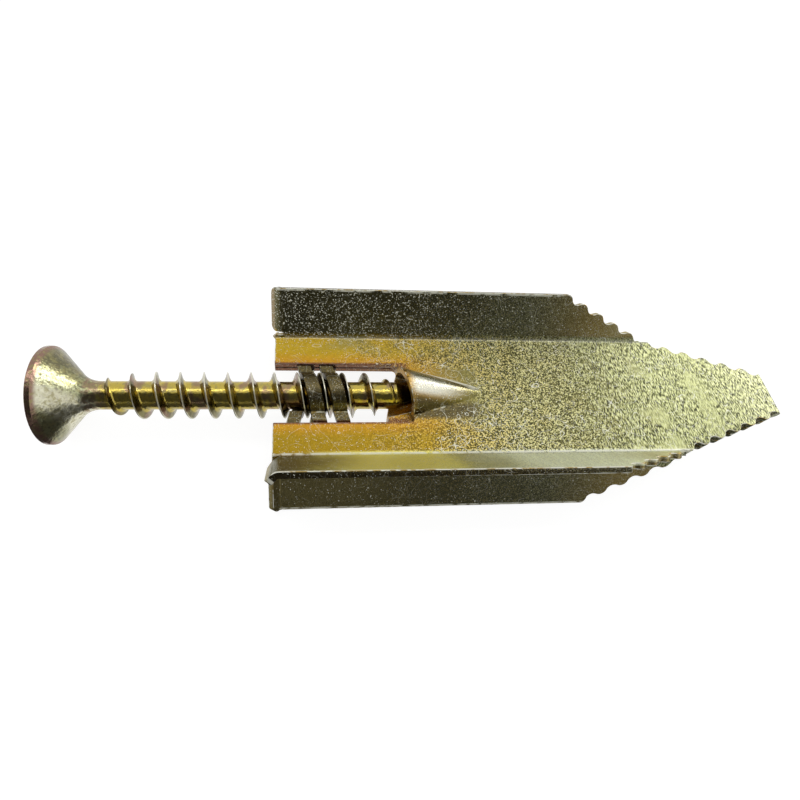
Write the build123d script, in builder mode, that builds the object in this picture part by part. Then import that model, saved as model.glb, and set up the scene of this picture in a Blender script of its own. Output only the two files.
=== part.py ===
from build123d import *
import os
from math import cos, radians, sin, tan

os.makedirs("parts", exist_ok=True)

# A self-drilling plasterboard anchor with its screw started in it. +X runs along the screw from its
# head to the anchor's point and +Z is the normal of the two back-to-back plates. The screw's axis is
# the X axis, and the origin lies halfway along the whole length. All sizes are in millimetres.

# ---- sheet-metal anchor ----
sheet = 0.6  # thickness of the steel sheet
leg_gap = 0.1  # air between the two legs, which lie back to back
body_length = 53.0  # plate's entry end to the folded point
plate_width = 13.0  # between the two fold lines of a leg
body_depth = 9.2  # over the free edges of the opposite flanges
flange_angle = 52.0  # how far each flange is folded out of its plate
flange_bend = 0.4  # inside radius of that fold
taper_start = 30.2  # where the flanges' free edges begin to narrow
taper_knee = 40.2  # where that edge crosses the fold line and its slope changes
tip_width = 4.7  # length of the fold at the point
flange_teeth = 5  # scallops along the tapered edge of a flange
tip_teeth = 6  # scallops along each edge of the tip
tooth_height = 0.5  # crest to hollow of a scallop

# ---- lips that close the flanges' entry ends ----
lip_angle = 50.0  # how far a lip is folded into the groove between two flanges
lip_length = 1.2
lip_bend = 0.3  # inside radius of the lip's fold
lip_start = 0.8  # entry end to the lip's fold
lip_relief = 0.55  # fold line to the near side of the lip
lip_notch = 0.3  # fold line to the notch that frees the lip
lip_corner = 0.7  # corner radius of a lip

# ---- strip nut, window and funnel pressed out of the plates ----
slot_width = 6.5  # between the long rims of the slots and the window
slot_corner = 0.4  # corner radius of the slots
strap_width = 1.3  # along the screw
strap_count = 2  # on each leg
strap_centre = 3.65  # entry end to the middle of the first strap on the front leg
strap_bore = 3.3  # inside diameter of the arched straps
strap_foot = 0.3  # inside radius where a strap leaves the plate
window_end = 12.8  # entry end to the middle of the funnel's mouth on the front leg
funnel_end = 20.6  # entry end to where the funnel runs out into the plate
funnel_mouth = 6.2  # outside diameter of the funnel at its mouth

# ---- screw ----
thread_diameter = 4.5
core_diameter = 2.7
thread_pitch = 2.2
head_diameter = 9.2
head_rim = 0.45  # height of the head's cylindrical edge
head_flank = 48.0  # between the countersunk cone and the axis
neck_radius = 2.4  # hollow fillet from the cone into the core
screw_length = 36.4  # head face to point
point_length = 4.0  # tapered end of the core
recess_size = 4.6  # across the cross recess
recess_wing = 0.9  # width of a wing of the recess
recess_depth = 2.5
recess_floor = 0.8  # radius at the recess's bottom
point_reach = 15.9  # entry end to the point of the screw as it is started by hand

# The whole length is centred on the origin.
head_reach = screw_length - point_reach
entry_x = (head_reach - body_length) / 2
plate_top = leg_gap / 2 + sheet
flange_rise = body_depth / 2 - plate_top
flange_width = flange_rise / sin(radians(flange_angle))
flange_out = Vector(0, cos(radians(flange_angle)), sin(radians(flange_angle)))
flange_up = Vector(0, -flange_out.Z, flange_out.Y)
fold_x = entry_x + body_length - plate_top
slot_lean = thread_pitch / 2 * slot_width / thread_diameter / 2
beyond = body_length  # far enough to cut clear of the body


def taper_waste(plane, start, end, tooth_count):
    """What is sheared off along a straight taper with a wavy edge, from start to end on a plane
    whose X axis runs along the anchor. Each tooth is one bump and one hollow."""
    along = Vector(*end) - Vector(*start)
    out = Vector(-along.Y, along.X).normalized() * tooth_height / 2
    arc_count = 2 * tooth_count
    with BuildSketch(plane) as waste:
        with BuildLine():
            for index in range(arc_count):
                side = 1 if index % 2 == 0 else -1
                ThreePointArc(
                    Vector(*start) + along * (index / arc_count),
                    Vector(*start) + along * ((index + 0.5) / arc_count) + out * side,
                    Vector(*start) + along * ((index + 1) / arc_count),
                )
            Polyline(end, (beyond, end[1]), (beyond, beyond), (start[0], beyond), start)
        make_face()
    return waste.sketch


def entry_lip():
    """The lip on a flange's entry end, folded towards the other leg."""
    lip_plane = Plane(
        origin=Vector(0, plate_width / 2, plate_top) + flange_out * lip_relief,
        x_dir=(1, 0, 0),
        z_dir=flange_out,
    )
    outside_bend = lip_bend + sheet
    fold_at = entry_x + lip_start - outside_bend * tan(radians(lip_angle / 2))
    with BuildPart() as lip:
        with BuildSketch(lip_plane):
            with BuildLine():
                FilletPolyline(
                    (entry_x + lip_start + sheet, 0),
                    (fold_at, 0),
                    (
                        fold_at - lip_length * cos(radians(lip_angle)),
                        lip_length * sin(radians(lip_angle)),
                    ),
                    radius=outside_bend,
                )
                offset(amount=sheet, side=Side.RIGHT)
            make_face()
        extrude(amount=flange_width - lip_relief)
        end_face = lip.faces().sort_by(Axis.X)[0]
        fillet(end_face.edges().sort_by(SortBy.LENGTH)[:2], radius=lip_corner)
    return lip.part


def slanted_outline(start, end, corner):
    """A four-sided outline across the screw, whose two ends lean with the thread's helix."""
    half = slot_width / 2
    with BuildSketch(Plane.XY) as outline:
        with BuildLine():
            Polyline(
                (start + slot_lean, -half),
                (end + slot_lean, -half),
                (end - slot_lean, half),
                (start - slot_lean, half),
                close=True,
            )
        make_face()
        if corner:
            fillet(outline.vertices().sort_by(Axis.X)[-2:], radius=corner)
    return outline.sketch


def strap(start):
    """One strap, arched over the screw's core between two turns of the thread."""
    across = Plane(origin=(start - slot_lean, 0, 0), x_dir=(0, 1, 0), z_dir=(1, 0, 0))
    with BuildPart() as band:
        with BuildSketch(across) as arch:
            with Locations((0, leg_gap / 2)):
                Rectangle(slot_width, sheet, align=(Align.CENTER, Align.MIN))
            Circle(strap_bore / 2 + sheet)
            with Locations((0, leg_gap / 2)):
                Rectangle(slot_width, body_depth, align=(Align.CENTER, Align.MIN), mode=Mode.INTERSECT)
            feet = arch.vertices().group_by(Axis.Z)[-1].sort_by(Axis.Y)[1:-1]
            fillet(feet, radius=strap_foot)
            Circle(strap_bore / 2, mode=Mode.SUBTRACT)
        extrude(amount=strap_width + 2 * slot_lean)
        extrude(slanted_outline(start, start + strap_width, 0), amount=body_depth, mode=Mode.INTERSECT)
    return band.part


def half_cone(start, inset, end_radius):
    """Half of a cone about the screw, whose face lies inset inside the funnel's own. It narrows
    from start to end_radius, and the funnel's own face meets the plate's at funnel_end."""
    slope = (funnel_mouth / 2 - plate_top) / (entry_x + funnel_end - start)
    stop = entry_x + funnel_end + (plate_top - inset - end_radius) / slope
    start_radius = funnel_mouth / 2 - inset
    with BuildPart() as cone:
        with BuildSketch(Plane.XY):
            with BuildLine():
                Polyline((start, 0), (start, start_radius), (stop, end_radius), (stop, 0), close=True)
            make_face()
        revolve(axis=Axis.X)
        with Locations((start, 0, leg_gap / 2)):
            Box(
                stop - start,
                body_depth,
                body_depth,
                align=(Align.MIN, Align.CENTER, Align.MIN),
                mode=Mode.INTERSECT,
            )
    return cone.part


def leg(helix_shift):
    """One leg of the sheet, front side up. helix_shift moves its openings along the screw."""
    across = Plane(origin=(entry_x, 0, 0), x_dir=(0, 1, 0), z_dir=(1, 0, 0))
    flange_plane = Plane(origin=(0, plate_width / 2, plate_top), x_dir=(1, 0, 0), z_dir=flange_up)
    flange_edge = Vector(0, plate_width / 2, plate_top) + flange_out * flange_width
    first_strap = entry_x + strap_centre + helix_shift - strap_width / 2
    strap_length = (strap_count - 1) * thread_pitch + strap_width
    mouth_x = entry_x + window_end + helix_shift

    with BuildPart() as body:
        # Half of the plate and one flange, folded from one strip.
        with BuildSketch(across):
            with BuildLine():
                FilletPolyline(
                    (0, plate_top),
                    (plate_width / 2, plate_top),
                    (flange_edge.Y, flange_edge.Z),
                    radius=flange_bend,
                )
                offset(amount=sheet, side=Side.RIGHT)
            make_face()
        extrude(amount=fold_x - entry_x)

        # The tapered edges of the flange and of the tip, sheared before folding.
        flange_waste = taper_waste(
            flange_plane,
            (entry_x + taper_start, flange_width),
            (entry_x + taper_knee, 0),
            flange_teeth,
        )
        extrude(flange_waste, amount=2 * sheet, both=True, mode=Mode.SUBTRACT)
        tip_waste = taper_waste(
            Plane.XY,
            (entry_x + taper_knee, plate_width / 2),
            (fold_x, tip_width / 2),
            tip_teeth,
        )
        extrude(tip_waste, amount=body_depth, mode=Mode.SUBTRACT)

        # The lip, with a notch beside it.
        with BuildSketch(flange_plane):
            with Locations((entry_x + lip_start, lip_notch)):
                Rectangle(beyond, beyond, align=(Align.MAX, Align.MIN))
        extrude(amount=2 * sheet, both=True, mode=Mode.SUBTRACT)
        add(entry_lip())
        mirror(about=Plane.XZ)

        # The funnel behind the window, a half cone raised from the plate.
        funnel_start = mouth_x - slot_lean - slot_corner
        add(half_cone(funnel_start, 0, plate_top - sheet / 2))
        add(half_cone(funnel_start, sheet, leg_gap), mode=Mode.SUBTRACT)

        # The window, open at the entry end and bridged by the straps.
        window = slanted_outline(entry_x - 2 * slot_lean, mouth_x, slot_corner)
        extrude(window, amount=body_depth, mode=Mode.SUBTRACT)
        for index in range(strap_count):
            add(strap(first_strap + index * thread_pitch))
    return body.part


# The back leg is the front one turned about the screw, with its openings half a pitch on, so that
# the four straps together follow one right-handed helix.
front_leg = leg(0)
back_leg = leg(-thread_pitch / 2).rotate(Axis.X, 180)

with BuildPart() as anchor_body:
    # The sheet is folded back on itself at the point.
    with BuildSketch(Plane.XZ):
        with Locations((fold_x, 0)):
            Circle(plate_top)
            Circle(leg_gap / 2, mode=Mode.SUBTRACT)
            Rectangle(body_depth, body_depth, align=(Align.MIN, Align.CENTER), mode=Mode.INTERSECT)
    extrude(amount=tip_width / 2, both=True)
    add(front_leg)
    add(back_leg)
anchor_body.part.label = "anchor_body"
export_step(anchor_body.part, "parts/anchor_body.step")


# The screw, in one piece: countersunk head, neck, core and point.
head_x = entry_x - head_reach
point_x = head_x + screw_length
head_radius = head_diameter / 2
core_radius = core_diameter / 2
cone_end = head_x + head_rim + (head_radius - core_radius) / tan(radians(head_flank))

# Cross recess: two crossed slots, narrowed towards the floor by a cone.
with BuildPart() as recess:
    with BuildSketch(Plane.YZ.offset(head_x)):
        Rectangle(recess_size, recess_wing)
        Rectangle(recess_wing, recess_size)
    extrude(amount=recess_depth)
    with BuildSketch(Plane.XY):
        with BuildLine():
            Polyline(
                (head_x, 0),
                (head_x, recess_size / 2),
                (head_x + recess_depth, recess_floor),
                (head_x + recess_depth, 0),
                close=True,
            )
        make_face()
    revolve(axis=Axis.X, mode=Mode.INTERSECT)

with BuildPart() as screw:
    with BuildSketch(Plane.XY):
        with BuildLine():
            FilletPolyline(
                (head_x + head_rim, head_radius),
                (cone_end, core_radius),
                (point_x - point_length, core_radius),
                radius=neck_radius,
            )
            Polyline(
                (point_x - point_length, core_radius),
                (point_x, 0),
                (head_x, 0),
                (head_x, head_radius),
                (head_x + head_rim, head_radius),
            )
        make_face()
    revolve(axis=Axis.X)
    add(recess.part, mode=Mode.SUBTRACT)
screw.part.label = "screw"
export_step(screw.part, "parts/screw.step")
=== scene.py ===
from math import cos, pi, radians, sin, tau

import bmesh
import bpy
import numpy as np
from mathutils import Matrix, Vector


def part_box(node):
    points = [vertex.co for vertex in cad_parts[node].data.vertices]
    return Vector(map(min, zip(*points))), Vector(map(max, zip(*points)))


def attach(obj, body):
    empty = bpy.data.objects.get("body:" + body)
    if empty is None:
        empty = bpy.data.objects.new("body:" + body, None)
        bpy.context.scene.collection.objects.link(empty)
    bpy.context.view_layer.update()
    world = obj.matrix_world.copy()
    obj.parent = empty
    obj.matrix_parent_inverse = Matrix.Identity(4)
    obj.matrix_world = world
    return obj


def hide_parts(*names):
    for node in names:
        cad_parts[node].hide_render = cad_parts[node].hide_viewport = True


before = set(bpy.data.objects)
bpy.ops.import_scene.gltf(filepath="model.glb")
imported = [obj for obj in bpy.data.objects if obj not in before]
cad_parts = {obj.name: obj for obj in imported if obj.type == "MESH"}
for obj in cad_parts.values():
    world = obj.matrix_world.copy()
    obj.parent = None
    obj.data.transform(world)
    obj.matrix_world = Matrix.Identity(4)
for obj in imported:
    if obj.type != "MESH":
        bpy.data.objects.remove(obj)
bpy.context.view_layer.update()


# ---- Anchor body ----
# One piece of thin steel sheet, sheared with a wavy edge, pierced, folded at both sides of each leg
# and doubled over at the point. It is zinc plated and yellow passivated, so it shows gold, olive and
# reddish tints. Its sheared edges are worn bright, with a painted highlight on them as well.
mm = 0.001

# Places on the sheet, in millimetres along the screw's axis (X), across it (Y) and up (Z). The front
# is the side of -Y, the back is the side of +Y, and the top leg is the one above the axis.
entry_x = -16.25
window_end_x = -3.45
funnel_end_x = 4.35
funnel_slope = 0.28
funnel_half_width = 3.2
slot_rim_y = 3.25
fold_y = 6.5
plate_top = 0.65
flange_fold = radians(52)
flange_reach = 9.53  # axis to the flanges' cut edge, measured along their slope
flange_inner = -4.72  # axis to the flanges' inner face, measured square to their slope
wide_waver = 16
slight_waver = 5

sheet_gold = (0.42, 0.28, 0.02)
sheet_orange = (0.48, 0.23, 0.02)
# Painted highlights on the grain's heights near the entry.
sheet_amber = (0.75, 0.52, 0.10)
sheet_olive = (0.205, 0.19, 0.065)
sheet_deep_gold = (0.27, 0.17, 0.01)
sheet_straw = (0.36, 0.38, 0.16)
# Painted shade on the back flanges and in the grain's hollows.
sheet_dark = (0.035, 0.035, 0.02)
# Painted highlights and reflection, and pale pressed patches near the point.
sheet_light = (0.66, 0.67, 0.37)
sheet_red = (0.14, 0.05, 0.04)
# Painted shade on the straps, the funnel's front side and the flanges' cut walls.
sheet_painted_shade = (0.085, 0.07, 0.035)
sheet_lip = (0.33, 0.25, 0.13)
# The flanges' grey, a painted dark reflection.
sheet_flange = (0.155, 0.155, 0.09)
# A painted reflection inside the top leg's front flange.
sheet_yellow = (0.96, 0.92, 0.26)
sheet_brown = (0.40, 0.28, 0.08)
sheet_dull = (0.36, 0.30, 0.12)
# Painted highlights and glints, and the real scratches and worn edges.
sheet_pale = (0.80, 0.80, 0.68)
# A painted reflection inside the top leg's front flange.
sheet_glow = (0.90, 0.95, 0.68)


class Shade:
    """One socket of a material. Sums, products and powers of it add Math nodes."""

    def __init__(self, socket):
        self.socket = socket

    def node(self, kind, settings, sockets, out=0):
        """Adds a node of that kind: its settings first, then the values or links of its sockets."""
        tree = self.socket.id_data
        made = tree.nodes.new(kind)
        for name, value in settings.items():
            setattr(made, name, value)
        for name, value in sockets.items():
            if isinstance(value, Shade):
                tree.links.new(value.socket, made.inputs[name])
            else:
                made.inputs[name].default_value = value
        return Shade(made.outputs[out])

    def maths(self, operation, *values):
        return self.node("ShaderNodeMath", {"operation": operation}, dict(enumerate(values)))

    def __add__(self, other):
        return self.maths("ADD", self, other)

    def __sub__(self, other):
        return self.maths("SUBTRACT", self, other)

    def __rsub__(self, other):
        return self.maths("SUBTRACT", other, self)

    def __mul__(self, other):
        return self.maths("MULTIPLY", self, other)

    def __truediv__(self, other):
        return self.maths("DIVIDE", self, other)

    def __pow__(self, other):
        return self.maths("POWER", self, other)

    def __abs__(self):
        return self.maths("ABSOLUTE", self)

    __radd__ = __add__
    __rmul__ = __mul__

    def larger(self, other):
        return self.maths("MAXIMUM", self, other)

    def smaller(self, other):
        return self.maths("MINIMUM", self, other)

    def rise(self, low, high):
        """0 below low, 1 above high, smooth between. Where low is the larger, it falls instead."""
        ends = {"To Min": 0.0, "To Max": 1.0} if low < high else {"To Min": 1.0, "To Max": 0.0}
        limits = {"From Min": min(low, high), "From Max": max(low, high)}
        settings = {"interpolation_type": "SMOOTHSTEP"}
        return self.node("ShaderNodeMapRange", settings, {"Value": self, **limits, **ends})

    def mix(self, first, second):
        """first where this value is 0 and second where it is 1, both colours. The Mix node has its
        colours on inputs 6 and 7 and on output 2."""
        ends = [c if isinstance(c, Shade) else (*c, 1) for c in (first, second)]
        sockets = {0: self, 6: ends[0], 7: ends[1]}
        return self.node("ShaderNodeMix", {"data_type": "RGBA"}, sockets, out=2)

    def parts(self):
        """The X, Y and Z of this position."""
        return [self.node("ShaderNodeSeparateXYZ", {}, {0: self}, out=axis) for axis in "XYZ"]

    def noise(self, scale, detail=2.0, stretch=(1, 1, 1)):
        """A noise value on this position, finer with a larger scale."""
        placed = self.node("ShaderNodeMapping", {}, {"Vector": self, "Scale": stretch})
        sockets = {"Vector": placed, "Scale": scale, "Detail": detail}
        return self.node("ShaderNodeTexNoise", {}, sockets)

    def bump(self, strength, depth):
        """The normals of a surface with this value as its relief."""
        sockets = {"Strength": strength, "Distance": depth, "Height": self}
        return self.node("ShaderNodeBump", {}, sockets)


def new_metal(name):
    """A bare metallic material: its surface node and the object position in millimetres."""
    material = bpy.data.materials.new(name)
    material.use_nodes = True
    surface = material.node_tree.nodes["Principled BSDF"]
    surface.inputs["Metallic"].default_value = 1.0
    place = Shade(surface.outputs[0]).node("ShaderNodeTexCoord", {}, {}, out="Object")
    sockets = {0: place, "Scale": 1 / mm}
    return material, surface, place.node("ShaderNodeVectorMath", {"operation": "SCALE"}, sockets)


def feed(node, **inputs):
    """Links shaded values to the sockets of those names."""
    for name, value in inputs.items():
        node.id_data.links.new(value.socket, node.inputs[name.replace("_", " ")])


class SheetPlace:
    """A point of the sheet, in millimetres, and the parts of the sheet, each a value that is 1 on it
    and 0 off it. Two distances along the axis waver with a slow noise, so that tints end in clouds."""

    def __init__(self, place):
        self.place = place
        self.along, self.across, self.up = place.parts()
        self.aside = abs(self.across)
        height = abs(self.up)
        self.cloud = place.noise(0.35, 3)
        self.drifting = self.along + (self.cloud - 0.5) * wide_waver
        self.wavering = self.along + (self.cloud - 0.5) * slight_waver
        self.middle = self.wavering.rise(0, 8) * self.wavering.rise(24, 13)
        self.flange = height.rise(0.8, 1.2) * self.aside.rise(fold_y, fold_y + 0.4)
        self.front_flanges = self.across.rise(-fold_y + 0.4, -fold_y)
        squarely = self.up * cos(flange_fold) - self.aside * sin(flange_fold)
        inner_face = squarely.rise(flange_inner - 0.3, flange_inner - 0.15)
        self.front_inside = self.up.rise(0.0, 0.5) * self.front_flanges * inner_face
        # The stretch inside the top leg's front flange that gets a painted yellow reflection.
        yellow_ends = self.wavering.rise(-15.5, -6.5) * self.wavering.rise(5, -2)
        self.yellow_reflection = self.front_inside * yellow_ends
        self.lip = self.along.rise(entry_x + 0.05, entry_x - 0.15)
        funnel_ends = self.along.rise(window_end_x - 0.1, window_end_x + 1) * self.along.rise(5, 3)
        self.funnel = self.aside.rise(funnel_half_width, funnel_half_width - 0.6) * funnel_ends
        reach = self.aside * cos(flange_fold) + height * sin(flange_fold)
        self.cut_wall = reach.rise(flange_reach - 0.03, flange_reach - 0.01)
        self.brink = reach.rise(flange_reach - 0.26, flange_reach - 0.2) * (1 - self.cut_wall)


def plate_tints(at):
    """Gold towards the entry, then olive, then straw, and a painted highlight at the point. Olive
    blotches lie beside the folds, and the front of the plate is a deeper gold towards the entry."""
    colour = at.drifting.rise(-9, 6).mix(sheet_gold, sheet_olive)
    colour = at.drifting.rise(12, 25).mix(colour, sheet_straw)
    # A painted highlight at the point.
    colour = (at.along.rise(29, 35) * 0.6).mix(colour, sheet_light)
    blotch = at.place.noise(0.28, 3).rise(0.5, 0.66) * at.aside.rise(4.2, 6.0)
    colour = (blotch * 0.6).mix(colour, sheet_olive)
    deep = at.across.rise(-2.8, -4) * at.along.rise(8, -4)
    return (deep * 0.9).mix(colour, sheet_deep_gold)


def slot_tints(at, colour):
    """Orange bands beside the slots, a dark reddish fringe on their rims, and painted shade on the
    straps.
    """
    frayed = at.aside + (at.place.noise(0.9, 2) - 0.5) * 0.9
    band = frayed.rise(slot_rim_y + 1.7, slot_rim_y + 0.1)
    band = band * at.along.rise(window_end_x + 8, window_end_x - 2)
    colour = (band * 0.75).mix(colour, sheet_orange)
    fringe = at.aside.rise(slot_rim_y + 0.32, slot_rim_y + 0.08) * at.aside.rise(2.2, 2.8)
    fringe = fringe * at.along.rise(window_end_x + 1.2, window_end_x)
    colour = (fringe * 0.9).mix(colour, sheet_red)
    # Painted shade on the straps.
    strap = at.aside.rise(slot_rim_y - 0.1, slot_rim_y - 0.3)
    strap = strap * at.along.rise(window_end_x - 1.5, window_end_x - 2)
    return strap.mix(colour, sheet_painted_shade)


def flange_tints(at, colour):
    """Flanges painted grey as a dark reflection, brown at their wavy ends. Near the entry the back
    ones get more painted shade and the bottom leg's front one is dull. The top leg's front one has a
    painted reflection inside, yellow, then light. The lips differ."""
    # The flanges' grey is a painted dark reflection.
    colour = (at.flange * 0.9).mix(colour, sheet_flange)
    # Painted shade on the back flanges near the entry.
    back_entry = at.flange * at.across.rise(0, 1) * at.along.rise(10, 0)
    colour = (back_entry * 0.4).mix(colour, sheet_dark)
    front_entry = at.up.rise(0.0, -0.5) * at.front_flanges * at.along.rise(0, -12)
    colour = (front_entry * 0.7).mix(colour, sheet_dull)
    # A painted reflection inside the top leg's front flange: yellow, then light.
    colour = at.yellow_reflection.mix(colour, sheet_yellow)
    colour = (at.front_inside * at.wavering.rise(-1, 7)).mix(colour, sheet_light)
    colour = (at.flange * at.along.rise(9, 20) * 0.75).mix(colour, sheet_brown)
    return at.lip.mix(colour, at.across.rise(-1, 1).mix(sheet_dull, sheet_lip))


def funnel_tints(at, colour):
    """A painted highlight on the funnel's ridge, and painted shade on its front side."""
    ridge = at.funnel * at.up.rise(0.8, 2.0) * at.across.rise(-1.4, -0.6)
    colour = (ridge * 0.9).mix(colour, sheet_pale)
    front_side = at.funnel * at.across.rise(-0.8, -1.6)
    return (front_side * 0.95).mix(colour, sheet_painted_shade)


def flecked_gleams(at, colour):
    """A painted highlight beside the back fold, and a painted reflection inside the top leg's front
    flange, both with flecks across them."""
    flecks = at.place.noise(3.2, 1, (1, 0.15, 0.15)).rise(0.42, 0.62)
    beside_fold = at.across.rise(4.8, 6.2) * at.middle * (1 - at.flange)
    colour = (beside_fold * flecks * 0.6).mix(colour, sheet_light)
    return (at.front_inside * (0.7 + flecks * 0.3) * at.middle).mix(colour, sheet_glow)


def rolled_grain(at):
    """Fine rolling marks across the sheet near the point, and a mottle elsewhere."""
    marks = at.place.noise(11.0, 1, (1.0, 0.2, 1.0))
    mottle = at.place.noise(8.5, 1)
    return mottle + (marks - mottle) * at.along.rise(10, 22)


def grain_tints(at, colour, grain):
    """The grain's mottle has painted shade in its hollows and painted highlights on its heights. It is
    weaker at the entry, on the flanges, on the smooth funnel and in patches near the point that were
    pressed flat."""
    pressed = at.place.noise(0.3, 1).rise(0.48, 0.6)
    pressed = pressed * at.along.rise(18, 22) * at.along.rise(31, 27)
    colour = (pressed * 0.2).mix(colour, sheet_light)
    depth = (0.12 + 0.8 * at.drifting.rise(-12, 6)) * (1 - 0.6 * at.flange)
    depth = depth * (1 - 0.8 * at.funnel) * (1 - 0.6 * pressed)
    # Painted shade in the grain's hollows.
    colour = (grain.rise(0.53, 0.43) * depth).mix(colour, sheet_dark)
    # Painted highlights on the grain's heights.
    bright = at.drifting.rise(-9, 18).mix(sheet_amber, sheet_light)
    return (grain.rise(0.52, 0.61) * depth * 0.8).mix(colour, bright)


def pale_specks(at):
    """Small painted glints, thickest on the back flanges towards the entry."""
    more_glints_at_back = at.across.rise(fold_y - 1, fold_y) * at.along.rise(16, -12) * 0.075
    return (at.place.noise(7.2, 1) + more_glints_at_back).rise(0.695, 0.715)


# Each set of scratches: how fine its curves are, and how they are stretched.
hair_curves = ((0.5, (1, 1, 1)), (0.6, (1, 1.6, 1)), (0.7, (1.7, 1, 1)), (0.85, (1, 1, 1)))


def hair_scratches(at):
    """Thin curved scratches, each where a smooth noise passes its mean, broken by another noise."""
    hair = 0
    for scale, stretch in hair_curves:
        line = abs(at.place.noise(scale, 0, stretch) - 0.5).rise(0.006, 0.002)
        hair = hair + line * at.place.noise(scale * 0.7, 0).rise(0.48, 0.54)
    return hair.smaller(1.0) * (0.4 + 0.4 * at.drifting.rise(-8, 0)) * (1 - 0.5 * at.flange)


def fold_highlight(at):
    """A painted highlight in broken lines along the top leg's folds, the front one most."""
    fold = abs(at.aside - fold_y).rise(0.2, 0.08) * at.up.rise(0.0, 0.2)
    fold = fold * (0.25 + 0.75 * at.across.rise(1, -1))
    return fold * at.place.noise(1.2, 2).rise(0.3, 0.5) * 0.9


def seam_highlight(at):
    """A painted highlight along the seam at the back of the top leg's funnel, where the funnel's cone
    meets the plate: the cone widens by its slope from its end towards the entry."""
    radius = (at.across * at.across + at.up * at.up) ** 0.5
    seam = abs(radius - plate_top - (funnel_end_x - at.along) * funnel_slope).rise(0.17, 0.07)
    seam = seam * at.across.rise(0.0, 0.4) * at.up.rise(0.5, 0.6) * at.up.rise(1.05, 0.85)
    seam = seam * at.along.rise(window_end_x, window_end_x + 0.5)
    return seam * at.along.rise(funnel_end_x, funnel_end_x - 0.85) * 0.8


def plated_sheet():
    """The passivated sheet. The flanges' cut walls get painted shade, and the brinks beside them a
    painted highlight.
    """
    material, surface, place = new_metal("yellow_plated_sheet")
    at = SheetPlace(place)
    colour = plate_tints(at)
    colour = slot_tints(at, colour)
    colour = flange_tints(at, colour)
    colour = funnel_tints(at, colour)
    colour = flecked_gleams(at, colour)
    # Painted shade on the flanges' cut walls.
    colour = at.cut_wall.mix(colour, sheet_painted_shade)
    grain = rolled_grain(at)
    colour = grain_tints(at, colour, grain)
    speck = pale_specks(at)
    # A painted highlight in broken lines along the brinks.
    brink = at.brink * place.noise(1.0, 2).rise(0.35, 0.5) * 0.8
    # Pale marks: real hair scratches, and the painted glints and highlights of the specks, folds, seam
    # and brinks.
    pale = speck.larger(hair_scratches(at)).larger(fold_highlight(at))
    pale = pale.larger(seam_highlight(at)).larger(brink)
    colour = (pale * 0.9).mix(colour, sheet_pale)
    # Less metal on the pale marks, on the lips and where reflection is painted inside the top leg's
    # front flange, so that these show their colour under any light.
    dull = at.lip * 0.5 + at.front_inside * at.middle * 0.65 + at.yellow_reflection * 0.25
    metal = 1 - pale * 0.9 - (1 - pale) * dull
    rough = 0.25 + at.cloud * 0.1 + grain * 0.14 - at.funnel * 0.2
    relief = (grain + speck * 0.3).bump(strength=0.5, depth=0.04 * mm)
    feed(surface, Base_Color=colour, Roughness=rough, Metallic=metal, Normal=relief)
    return material


def rubbed_and_highlit_edge():
    """The broken edges of the sheet: bright where the plating is worn thin, with a painted highlight
    as well, and reddish at the slots.
    """
    material, surface, place = new_metal("rubbed_and_highlit_edge")
    along, across, _ = place.parts()
    aside = abs(across)
    # Worn spots, painted pale as a highlight as well and less metallic, so that they stay bright.
    worn_and_highlit = place.noise(1.5, 3).rise(0.38, 0.56)
    slot_rim = aside.rise(slot_rim_y + 0.55, slot_rim_y + 0.25)
    slot_rim = slot_rim * aside.rise(slot_rim_y - 0.25, slot_rim_y - 0.1)
    slot_rim = slot_rim * along.rise(window_end_x + 1, window_end_x)
    colour = worn_and_highlit.mix(sheet_brown, sheet_pale)
    colour = (slot_rim * 0.85).mix(colour, sheet_red)
    rough = 0.3 + place.noise(4.0, 2) * 0.2
    feed(surface, Base_Color=colour, Roughness=rough, Metallic=1 - worn_and_highlit * 0.8)
    return material


def mark_faces(shape):
    """Numbers the faces of a mesh by the loose patch that each belongs to, one patch per CAD face."""
    patch = shape.faces.layers.int.new("patch")
    count = 0
    for first in shape.faces:
        if first[patch]:
            continue
        count += 1
        first[patch] = count
        front = [first]
        while front:
            face = front.pop()
            for edge in face.edges:
                for other in edge.link_faces:
                    if not other[patch]:
                        other[patch] = count
                        front.append(other)
    return patch


crease_between_faces = radians(8)
crease_within_face = radians(60)
flat_enough = radians(0.3)
same_corner = 1e-7


def joined_copy(node, name):
    """A CAD node's mesh with its triangles joined and its flat areas as single faces. It is smooth
    within a CAD face and sharp where two of them meet at more than a few degrees."""
    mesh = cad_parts[node].data.copy()
    mesh.name = name
    shape = bmesh.new()
    shape.from_mesh(mesh)
    patch = mark_faces(shape)
    bmesh.ops.remove_doubles(shape, verts=shape.verts, dist=same_corner)
    bmesh.ops.dissolve_limit(shape, angle_limit=flat_enough, verts=shape.verts, edges=shape.edges)
    for face in shape.faces:
        face.smooth = True
    for edge in shape.edges:
        sides = edge.link_faces
        if len(sides) == 2:
            between_faces = sides[0][patch] != sides[1][patch]
            crease = crease_between_faces if between_faces else crease_within_face
            edge.smooth = edge.calc_face_angle() < crease
    shape.to_mesh(mesh)
    shape.free()
    made = bpy.data.objects.new(name, mesh)
    bpy.context.scene.collection.objects.link(made)
    return made


sheet_edge_bevel = 0.07 * mm
softened_angle = radians(24)
shortest_edge = 0.1 * mm
long_edge = 1.0 * mm


def soften(piece, width):
    """Breaks a piece's sharp edges by a small bevel."""
    bevel = piece.modifiers.new("edges", "BEVEL")
    bevel.width = width
    bevel.segments = 2
    bevel.limit_method = "ANGLE"
    bevel.angle_limit = softened_angle
    bevel.harden_normals = True
    bevel.use_clamp_overlap = False
    return bevel


def is_roomy(corner):
    """Whether at most three edges meet at a corner, none of them very short."""
    edges = corner.link_edges
    return len(edges) <= 3 and min(edge.calc_length() for edge in edges) > shortest_edge


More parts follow.
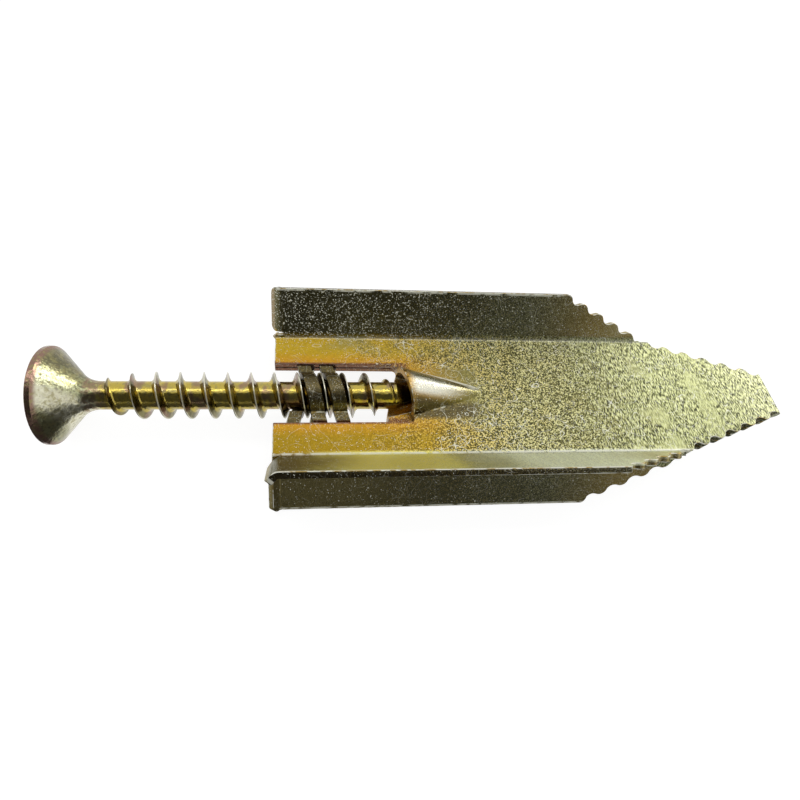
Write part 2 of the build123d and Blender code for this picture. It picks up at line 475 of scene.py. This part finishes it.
def spare_tight_edges(piece, bevel):
    """Leaves some of the shorter edges out of a bevel, since it would fold over itself there: those
    that end where more than three meet, or beside a very short one."""
    shape = bmesh.new()
    shape.from_mesh(piece.data)
    weight = shape.edges.layers.float.new("bevel_weight_edge")
    for edge in shape.edges:
        if edge.calc_face_angle(0) > softened_angle:
            roomy = edge.calc_length() > long_edge or all(is_roomy(end) for end in edge.verts)
            edge[weight] = float(roomy)
    shape.to_mesh(piece.data)
    shape.free()
    bevel.limit_method = "WEIGHT"


anchor = joined_copy("anchor_body", "anchor_sheet")
anchor.data.materials.clear()
anchor.data.materials.append(plated_sheet())
anchor.data.materials.append(rubbed_and_highlit_edge())
rims = soften(anchor, sheet_edge_bevel)
rims.material = 1
spare_tight_edges(anchor, rims)
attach(anchor, "anchor")
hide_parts("anchor_body")


# ---- Screw ----
# A countersunk wood screw, cold headed and rolled from steel wire, with the same plating. It is
# started by hand in the four straps, which stand between its turns.
screw_green = (0.40, 0.41, 0.23)
screw_gold = (0.50, 0.39, 0.08)
screw_olive = (0.30, 0.27, 0.12)
screw_brown = (0.26, 0.16, 0.12)
# Painted highlights on the head's front and the crests, and pale streaks on the head.
screw_pale = (0.85, 0.82, 0.66)
# Painted shade on the head and the flanks, and the head's dark speckle.
screw_shade = (0.12, 0.11, 0.06)
screw_edge_bevel = 0.06 * mm
head_radius = 4.6  # in millimetres, as the shaded positions are


def head_tints(place, colour, head, radius):
    """Streaks down the head's cone, the same at each distance from the axis. The cone is speckled,
    most on its back, which has painted shade, and its front has a painted highlight down to a brim
    with painted shade."""
    along, across, up = place.parts()
    sockets = {"X": along * 0.04, "Y": across / radius, "Z": up / radius}
    streak = place.node("ShaderNodeCombineXYZ", {}, sockets).noise(2.2, 2)
    colour = (head * streak.rise(0.5, 0.62) * 0.25).mix(colour, screw_pale)
    colour = (head * streak.rise(0.5, 0.38) * 0.4).mix(colour, screw_olive)
    speckle = (place.noise(4.0, 2) + across.rise(-0.5, 1.5) * 0.1).rise(0.5, 0.62)
    colour = (head * speckle * 0.7).mix(colour, screw_shade)
    # Painted shade on the back of the head.
    colour = (head * across.rise(0.3, 2.0) * 0.85).mix(colour, screw_shade)
    # A painted highlight on the front of the head, and painted shade at its brim.
    paler = across.rise(-0.6, -1.6) * across.rise(-3.4, -2.6)
    colour = (head * paler * 0.65).mix(colour, screw_pale)
    return (head * across.rise(-2.6, -3.4) * 0.4).mix(colour, screw_shade)


def plated_screw():
    """The passivated screw: a green head, a gold shank, painted shade on the thread's flanks and a
    painted highlight on its crests, with olive and reddish-brown clouds and a brown neck and rim."""
    material, surface, place = new_metal("yellow_plated_screw")
    along, across, up = place.parts()
    radius = (across * across + up * up) ** 0.5
    cloud = place.noise(0.8, 3)
    pits = place.noise(2.6, 4)
    head = (along + (cloud - 0.5) * 2).rise(-31.6, -33.2)
    colour = head.mix(screw_gold, screw_green)
    colour = head_tints(place, colour, head, radius)
    # Painted shade on the thread's flanks.
    flank = radius.rise(1.5, 1.7) * along.rise(-32.0, -31.5)
    colour = (flank * 0.92).mix(colour, screw_shade)
    colour = (cloud.rise(0.5, 0.7) * 0.5).mix(colour, screw_olive)
    tinge = place.noise(0.55, 2, (1.4, 1, 1)).rise(0.5, 0.64)
    colour = (tinge * (0.8 - 0.7 * head)).mix(colour, screw_brown)
    neck = along.rise(-33.6, -33.3) * along.rise(-30.8, -32.2) * pits.rise(0.6, 0.45)
    colour = (neck * 0.8).mix(colour, screw_brown)
    colour = radius.rise(head_radius - 0.45, head_radius - 0.1).mix(colour, screw_brown)
    colour = (pits.rise(0.5, 0.36) * 0.6).mix(colour, screw_olive)
    # A painted highlight on the crests, less metallic so that it stays bright.
    crest = radius.rise(2.1, 2.2) * along.rise(-32.5, -31.5)
    colour = (crest * 0.7).mix(colour, screw_pale)
    rough = 0.11 + pits * 0.16 + head * 0.05
    relief = (pits * (0.6 + 0.1 * head)).bump(strength=0.6, depth=0.1 * mm)
    feed(surface, Base_Color=colour, Roughness=rough, Metallic=1 - crest * 0.4, Normal=relief)
    return material


screw = joined_copy("screw", "screw_core")
soften(screw, screw_edge_bevel)
screw_finish = plated_screw()
screw.data.materials.clear()
screw.data.materials.append(screw_finish)
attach(screw, "screw")
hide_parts("screw")


# ---- Thread ----
# The thread is rolled out of the same wire: a sharp right-handed ridge that rises over its first
# turns behind the neck and narrows to nothing at the point.
head_x, point_x = (corner.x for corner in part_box("screw"))
thread_pitch = 2.2 * mm
core_radius = 1.35 * mm
crest_radius = 2.25 * mm
front_crest_x = -11.5 * mm  # a place where the crest passes over the axis, on its top side
quarter_turn = 0.25  # from +Y to that top side
thread_first_x = head_x + 4.15 * mm
thread_full_x = head_x + 8.35 * mm
taper_x = point_x - 6.7 * mm
core_taper_x = point_x - 4.0 * mm
run_out = 0.3 * mm
steps_per_turn = 96
# Half of the ridge's section: axial distance from the crest and share of the thread's height. Its
# root closes the section inside the core, and what lies below the core's surface is sunk a little.
ridge_axial = np.array([0.0, 0.045, 0.10, 0.20, 0.30, 0.42, 0.58]) * mm
ridge_height = np.array([1.0, 0.99, 0.78, 0.42, 0.18, 0.05, -0.06])
ridge_root = -0.3
sunk = 0.02 * mm
rise_power = 0.7
least_width = 0.35
thread_crease = radians(50)


def thread_ridge():
    """A section carried along a helix: at turn angle a, counted from +Y towards +Z, the crest is at
    x = front_crest_x + pitch * (a / tau - 1/4). The section's height grows from the core along the
    first turns and falls along the point's cone, and its ring of points closes inside the core."""
    start_turn = (thread_first_x - front_crest_x) / thread_pitch + quarter_turn
    end_turn = (point_x - run_out - front_crest_x) / thread_pitch + quarter_turn
    turns = np.linspace(start_turn, end_turn, int((end_turn - start_turn) * steps_per_turn))
    angle = turns[:, None] * tau
    axial = np.concatenate([-ridge_axial[:0:-1], ridge_axial, [0.0]])[None, :]
    height = np.concatenate([ridge_height[:0:-1], ridge_height, [ridge_root]])[None, :]
    crest_x = front_crest_x + thread_pitch * (turns[:, None] - quarter_turn)
    core = core_radius * np.clip((point_x - crest_x) / (point_x - core_taper_x), 0.0, 1.0)
    cone = crest_radius * np.clip((point_x - crest_x) / (point_x - taper_x), 0.0, 1.0)
    rise = np.clip((crest_x - thread_first_x) / (thread_full_x - thread_first_x), 0.0, 1.0)
    tall = np.maximum((cone - core) * rise**rise_power, 0.0)
    slim = least_width + (1 - least_width) * tall / (crest_radius - core_radius)
    radius = np.maximum(core + tall * height - sunk * (height < 0), 0.0)
    x = crest_x + axial * slim
    points = np.stack([x, radius * np.cos(angle), radius * np.sin(angle)], axis=-1)
    rows, columns = points.shape[:2]
    index = np.arange(rows * columns).reshape(rows, columns)
    here, there = index[:-1], index[1:]
    corners = [here, there, np.roll(there, -1, 1), np.roll(here, -1, 1)]
    quads = np.stack(corners, axis=-1).reshape(-1, 4)
    end_faces = [index[0].tolist(), index[-1][::-1].tolist()]
    mesh = bpy.data.meshes.new("screw_thread")
    mesh.from_pydata(points.reshape(-1, 3).tolist(), [], quads.tolist() + end_faces)
    mesh.validate()
    mesh.shade_smooth()
    mesh.set_sharp_from_angle(angle=thread_crease)
    return mesh


thread = bpy.data.objects.new("screw_thread", thread_ridge())
bpy.context.scene.collection.objects.link(thread)
thread.data.materials.append(screw_finish)
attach(thread, "screw")


# ---- Floor and surround ----
# A wide white floor that keeps the object's shadow, and a white surround that lights it softly from
# all sides. Both look whiter to the camera and to the metal than the light that they give.
floor_z = -4.62 * mm
floor_half = 3.0
floor_white = (0.9, 0.9, 0.9, 1)
floor_glow = 1.2
floor_glow_share = 0.75
white = (1, 1, 1, 1)
surround_light = 0.6
surround_seen = 1.0


def seen_ray(tree):
    """1 for a ray from the camera, a mirror or glass, and 0 for a ray that only brings light."""
    path = tree.nodes.new("ShaderNodeLightPath")
    camera_ray, glossy_ray, transmission_ray = (
        Shade(path.outputs[f"Is {kind} Ray"]) for kind in ("Camera", "Glossy", "Transmission")
    )
    return (camera_ray + glossy_ray + transmission_ray).smaller(1.0)


def white_ground():
    """Diffuse white that looks white to the camera and to the metal, and keeps the shadow."""
    material = bpy.data.materials.new("white_floor")
    material.use_nodes = True
    tree = material.node_tree
    tree.nodes.clear()
    output = tree.nodes.new("ShaderNodeOutputMaterial")
    seen = seen_ray(tree) * floor_glow_share
    matt = seen.node("ShaderNodeBsdfDiffuse", {}, {"Color": floor_white})
    glow = seen.node("ShaderNodeEmission", {}, {"Color": white, "Strength": floor_glow})
    both = seen.node("ShaderNodeMixShader", {}, {0: seen, 1: matt, 2: glow})
    feed(output, Surface=both)
    return material


def flat_card(name, half_width, half_depth, matrix, material):
    """A flat rectangle about its own origin, put in its place. It belongs to the stage."""
    mesh = bpy.data.meshes.new(name)
    signs = ((-1, -1), (1, -1), (1, 1), (-1, 1))
    mesh.from_pydata([(x * half_width, y * half_depth, 0) for x, y in signs], [], [(0, 1, 2, 3)])
    mesh.materials.append(material)
    made = bpy.data.objects.new(name, mesh)
    made.matrix_world = matrix
    bpy.context.scene.collection.objects.link(made)
    return made


flat_card("floor", floor_half, floor_half, Matrix.Translation((0, 0, floor_z)), white_ground())

world = bpy.data.worlds.new("studio")
bpy.context.scene.world = world
world.use_nodes = True
backdrop = world.node_tree.nodes["Background"]
backdrop.inputs["Color"].default_value = white
seen_more = surround_seen - surround_light
feed(backdrop, Strength=surround_light + seen_more * seen_ray(world.node_tree))


# ---- Lamps ----
# Two lamps that the metal mirrors: a long narrow tube overhead, in line with the screw, and a low
# panel behind the object, on the side of its point.


def aimed(azimuth, elevation, distance):
    """A place seen from the origin at that azimuth, from +X towards +Y, and at that elevation. What
    is put there is turned to face the origin."""
    a, e = radians(azimuth), radians(elevation)
    away = Vector((cos(a) * cos(e), sin(a) * cos(e), sin(e)))
    turned = away.to_track_quat("Z", "Y").to_matrix().to_4x4()
    return Matrix.Translation(away * distance) @ turned


def softbox(name, width, depth, radiance, matrix):
    """A rectangular lamp whose face is equally bright at any size."""
    lamp = bpy.data.lights.new(name, "AREA")
    lamp.shape = "RECTANGLE"
    lamp.size = width
    lamp.size_y = depth
    lamp.energy = radiance * pi * width * depth
    made = bpy.data.objects.new(name, lamp)
    made.matrix_world = matrix
    bpy.context.scene.collection.objects.link(made)


above = aimed(azimuth=90, elevation=75, distance=0.45)
behind = aimed(azimuth=32, elevation=21, distance=0.5)
softbox("overhead_tube", width=0.7, depth=0.045, radiance=4.0, matrix=above)
softbox("low_panel", width=0.22, depth=0.12, radiance=5.5, matrix=behind)


# ---- Dark cards ----
# Two dark paper cards that nothing but the metal sees, since it mirrors them. One stands on the
# camera's side, tilted towards the object, and one lies on the floor in front of it.
card_grey = 0.11
upright_half = (0.5, 0.42)
lying_half = (0.9, 0.25)
lying_gap = 5 * mm  # from the screw's axis to the card
lying_lift = 0.01 * mm


def dark_paper():
    """Matt dark grey paper."""
    material = bpy.data.materials.new("dark_card")
    material.use_nodes = True
    surface = material.node_tree.nodes["Principled BSDF"]
    surface.inputs["Base Color"].default_value = (card_grey, card_grey, card_grey, 1)
    surface.inputs["Roughness"].default_value = 1.0
    return material


paper = dark_paper()
facing = aimed(azimuth=-95, elevation=42, distance=0.5)
in_front = Matrix.Translation((0, -lying_half[1] - lying_gap, floor_z + lying_lift))
upright = flat_card("dark_card", *upright_half, facing, paper)
lying = flat_card("dark_floor", *lying_half, in_front, paper)
for card in (upright, lying):
    card.visible_camera = False
    card.visible_shadow = False
    card.visible_diffuse = False


# ---- Camera ----
# A short lens close to the object. It looks down from the front, and a little along the screw
# towards its point.
camera_lens = 21.46
camera_sensor = 36.0
camera_nearest = 1 * mm
camera_distance = 47.11 * mm
camera_turn = radians(5.80)
camera_tilt = radians(29.14)
camera_aim = Vector((-9.14, 0, 0)) * mm
camera_lift = 0.44 * mm
camera_shift = 0.0665

looking = Vector(
    (sin(camera_turn), cos(camera_turn) * sin(camera_tilt), -cos(camera_turn) * cos(camera_tilt))
)
rightwards = Vector(
    (cos(camera_turn), -sin(camera_turn) * sin(camera_tilt), sin(camera_turn) * cos(camera_tilt))
)
upwards = rightwards.cross(looking)
camera_data = bpy.data.cameras.new("camera")
camera_data.lens = camera_lens
camera_data.sensor_width = camera_sensor
camera_data.shift_x = camera_shift
camera_data.clip_start = camera_nearest
camera = bpy.data.objects.new("camera", camera_data)
turned = Matrix((rightwards, upwards, -looking)).transposed().to_4x4()
stand = camera_aim - looking * camera_distance - upwards * camera_lift
camera.matrix_world = Matrix.Translation(stand) @ turned
bpy.context.scene.collection.objects.link(camera)
bpy.context.scene.camera = camera
bpy.context.scene.view_settings.view_transform = "Standard"
